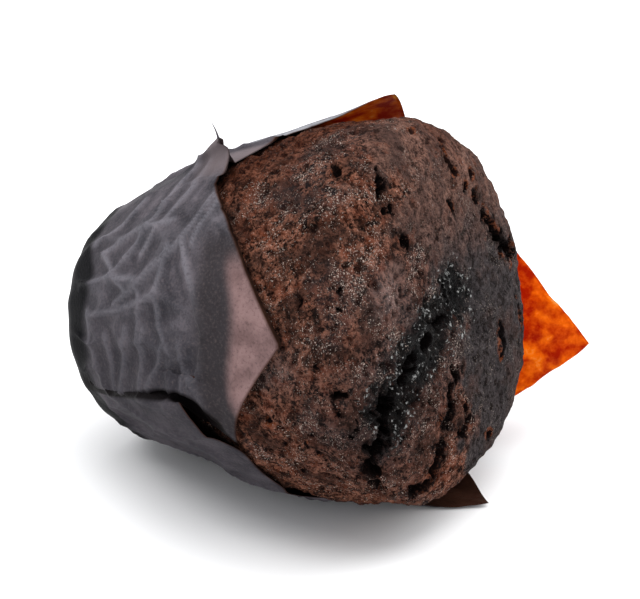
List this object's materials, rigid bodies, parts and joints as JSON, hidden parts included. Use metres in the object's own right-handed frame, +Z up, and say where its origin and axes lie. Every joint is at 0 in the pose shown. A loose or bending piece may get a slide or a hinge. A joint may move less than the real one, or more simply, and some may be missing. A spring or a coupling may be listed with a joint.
{
  "type": "muffin in tulip paper cup",
  "caption": "Dark chocolate muffin lying on its side in a folded baking parchment tulip cup, petals standing round the cake.",
  "frame": {"origin": "on the surface that the muffin lies on, under the middle of its bounding box", "axes": "+Z up; the muffin's own axis runs along +X from its base to its crown and rises 14.5 degrees; -Y is the side whose petal lies flat against the cake"},
  "size_m": [0.0972, 0.087, 0.0825],
  "materials": {
    "chocolate_cake": "matte",
    "brown_parchment": "satin"
  },
  "bodies": {
    "root": {"cake": "chocolate_cake", "tulip_paper": "brown_parchment"}
  },
  "joints": []
}
